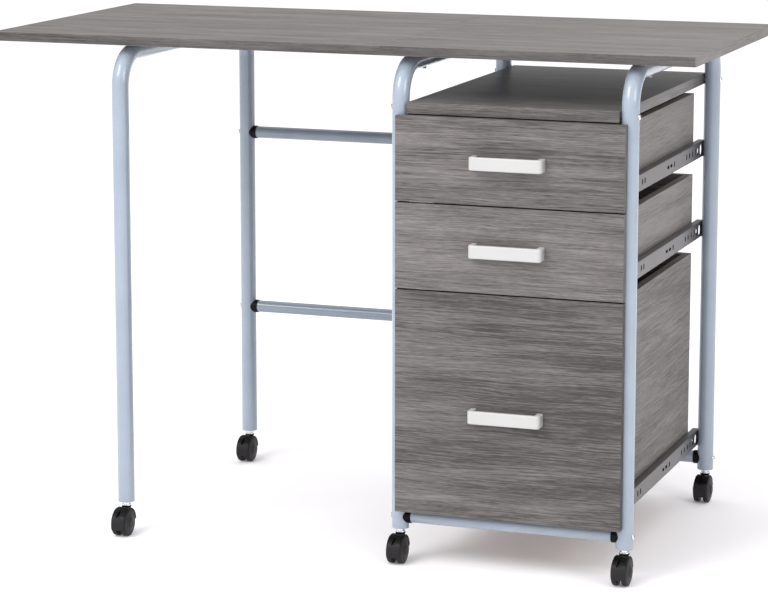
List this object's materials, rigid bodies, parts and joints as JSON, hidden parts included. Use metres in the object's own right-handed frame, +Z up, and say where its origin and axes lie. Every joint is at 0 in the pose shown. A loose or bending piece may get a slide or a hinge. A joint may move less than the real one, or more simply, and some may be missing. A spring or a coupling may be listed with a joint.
{
  "type": "folding desk",
  "caption": "Folding desk on casters: a drawer pedestal with a storage shelf under its top, and a hinged leaf that a swinging tube frame carries.",
  "frame": {"origin": "on the floor, under the middle of the whole desk with its leaf up", "axes": "+X along the desk from the leaf to the drawers, +Y from the drawer fronts to the rear, +Z up"},
  "size_m": [1.0704, 0.5486, 0.751],
  "materials": {
    "wood": "matt grey oak laminate",
    "board_core": "plain hardboard",
    "powder_coat": "light blue powder coat",
    "black_plastic": "satin",
    "charcoal_plastic": "satin",
    "bright_steel": "zinc plated",
    "dark_steel": "dark lacquered sheet",
    "white_enamel": "satin white"
  },
  "bodies": {
    "pedestal": {"fixed_top": "wood", "top_hinge_barrels": "bright_steel", "inner_side_frame": "powder_coat", "right_side_frame": "powder_coat", "storage_shelf": "wood", "front_rail": "powder_coat", "rear_rail": "powder_coat", "rail_end_caps": "black_plastic", "frame_bolts": "bright_steel", "top_screws": "bright_steel", "upper_slide_rails": "dark_steel", "middle_slide_rails": "dark_steel", "lower_slide_rails": "dark_steel", "slide_screws": "bright_steel", "gate_hinge_pins": "bright_steel", "pedestal_caster_sockets": "black_plastic", "pedestal_caster_stems": "bright_steel"},
    "leaf": {"leaf": "wood", "leaf_hinge_barrels": "bright_steel"},
    "gate": {"left_leg_frame": "powder_coat", "gate_upper_rail": "powder_coat", "gate_lower_rail": "powder_coat", "gate_end_caps": "black_plastic", "gate_bolts": "bright_steel", "gate_caster_sockets": "black_plastic", "gate_caster_stems": "bright_steel"},
    "upper_drawer": {"upper_drawer_front": "wood", "upper_drawer_sides": "wood", "upper_drawer_back": "wood", "upper_drawer_bottom": "board_core", "upper_drawer_handle": "white_enamel", "upper_handle_screws": "bright_steel", "upper_drawer_runners": "dark_steel"},
    "middle_drawer": {"middle_drawer_front": "wood", "middle_drawer_sides": "wood", "middle_drawer_back": "wood", "middle_drawer_bottom": "board_core", "middle_drawer_handle": "white_enamel", "middle_handle_screws": "bright_steel", "middle_drawer_runners": "dark_steel"},
    "lower_drawer": {"lower_drawer_front": "wood", "lower_drawer_sides": "wood", "lower_drawer_back": "wood", "lower_drawer_bottom": "board_core", "lower_drawer_handle": "white_enamel", "lower_handle_screws": "bright_steel", "lower_drawer_runners": "dark_steel"},
    "left_front_swivel": {"left_front_caster_hood": "charcoal_plastic"},
    "left_front_wheels": {"left_front_caster_wheels": "charcoal_plastic"},
    "left_rear_swivel": {"left_rear_caster_hood": "charcoal_plastic"},
    "left_rear_wheels": {"left_rear_caster_wheels": "charcoal_plastic"},
    "inner_front_swivel": {"inner_front_caster_hood": "charcoal_plastic"},
    "inner_front_wheels": {"inner_front_caster_wheels": "charcoal_plastic"},
    "inner_rear_swivel": {"inner_rear_caster_hood": "charcoal_plastic"},
    "inner_rear_wheels": {"inner_rear_caster_wheels": "charcoal_plastic"},
    "right_front_swivel": {"right_front_caster_hood": "charcoal_plastic"},
    "right_front_wheels": {"right_front_caster_wheels": "charcoal_plastic"},
    "right_rear_swivel": {"right_rear_caster_hood": "charcoal_plastic"},
    "right_rear_wheels": {"right_rear_caster_wheels": "charcoal_plastic"}
  },
  "joints": [
    {"name": "leaf_fold", "type": "hinge", "parent": "pedestal", "child": "leaf", "pos_m": [0.075, 0.02325, 0.75125], "axis": [0, 1, 0], "range_deg": [0, 180]},
    {"name": "gate_swing", "type": "hinge", "parent": "pedestal", "child": "gate", "pos_m": [0.0822, 0.25625, 0.4045], "axis": [0, 0, -1], "range_deg": [0, 90]},
    {"name": "upper_drawer_slide", "type": "slide", "parent": "pedestal", "child": "upper_drawer", "axis": [0, -1, 0], "range_m": [0, 0.33]},
    {"name": "middle_drawer_slide", "type": "slide", "parent": "pedestal", "child": "middle_drawer", "axis": [0, -1, 0], "range_m": [0, 0.33]},
    {"name": "lower_drawer_slide", "type": "slide", "parent": "pedestal", "child": "lower_drawer", "axis": [0, -1, 0], "range_m": [0, 0.33]},
    {"name": "left_front_swivel", "type": "hinge", "parent": "gate", "child": "left_front_swivel", "pos_m": [-0.3292, -0.22875, 0.045], "axis": [0, 0, 1], "continuous": true},
    {"name": "left_front_roll", "type": "hinge", "parent": "left_front_swivel", "child": "left_front_wheels", "pos_m": [-0.3292, -0.24175, 0.02], "axis": [1, 0, 0], "continuous": true},
    {"name": "left_rear_swivel", "type": "hinge", "parent": "gate", "child": "left_rear_swivel", "pos_m": [-0.3292, 0.25625, 0.045], "axis": [0, 0, 1], "continuous": true},
    {"name": "left_rear_roll", "type": "hinge", "parent": "left_rear_swivel", "child": "left_rear_wheels", "pos_m": [-0.3292, 0.24325, 0.02], "axis": [1, 0, 0], "continuous": true},
    {"name": "inner_front_swivel", "type": "hinge", "parent": "pedestal", "child": "inner_front_swivel", "pos_m": [0.1082, -0.22875, 0.045], "axis": [0, 0, 1], "continuous": true},
    {"name": "inner_front_roll", "type": "hinge", "parent": "inner_front_swivel", "child": "inner_front_wheels", "pos_m": [0.1082, -0.24175, 0.02], "axis": [1, 0, 0], "continuous": true},
    {"name": "inner_rear_swivel", "type": "hinge", "parent": "pedestal", "child": "inner_rear_swivel", "pos_m": [0.1082, 0.25625, 0.045], "axis": [0, 0, 1], "continuous": true},
    {"name": "inner_rear_roll", "type": "hinge", "parent": "inner_rear_swivel", "child": "inner_rear_wheels", "pos_m": [0.1082, 0.24325, 0.02], "axis": [1, 0, 0], "continuous": true},
    {"name": "right_front_swivel", "type": "hinge", "parent": "pedestal", "child": "right_front_swivel", "pos_m": [0.4442, -0.22875, 0.045], "axis": [0, 0, 1], "continuous": true},
    {"name": "right_front_roll", "type": "hinge", "parent": "right_front_swivel", "child": "right_front_wheels", "pos_m": [0.4442, -0.24175, 0.02], "axis": [1, 0, 0], "continuous": true},
    {"name": "right_rear_swivel", "type": "hinge", "parent": "pedestal", "child": "right_rear_swivel", "pos_m": [0.4442, 0.25625, 0.045], "axis": [0, 0, 1], "continuous": true},
    {"name": "right_rear_roll", "type": "hinge", "parent": "right_rear_swivel", "child": "right_rear_wheels", "pos_m": [0.4442, 0.24325, 0.02], "axis": [1, 0, 0], "continuous": true}
  ]
}
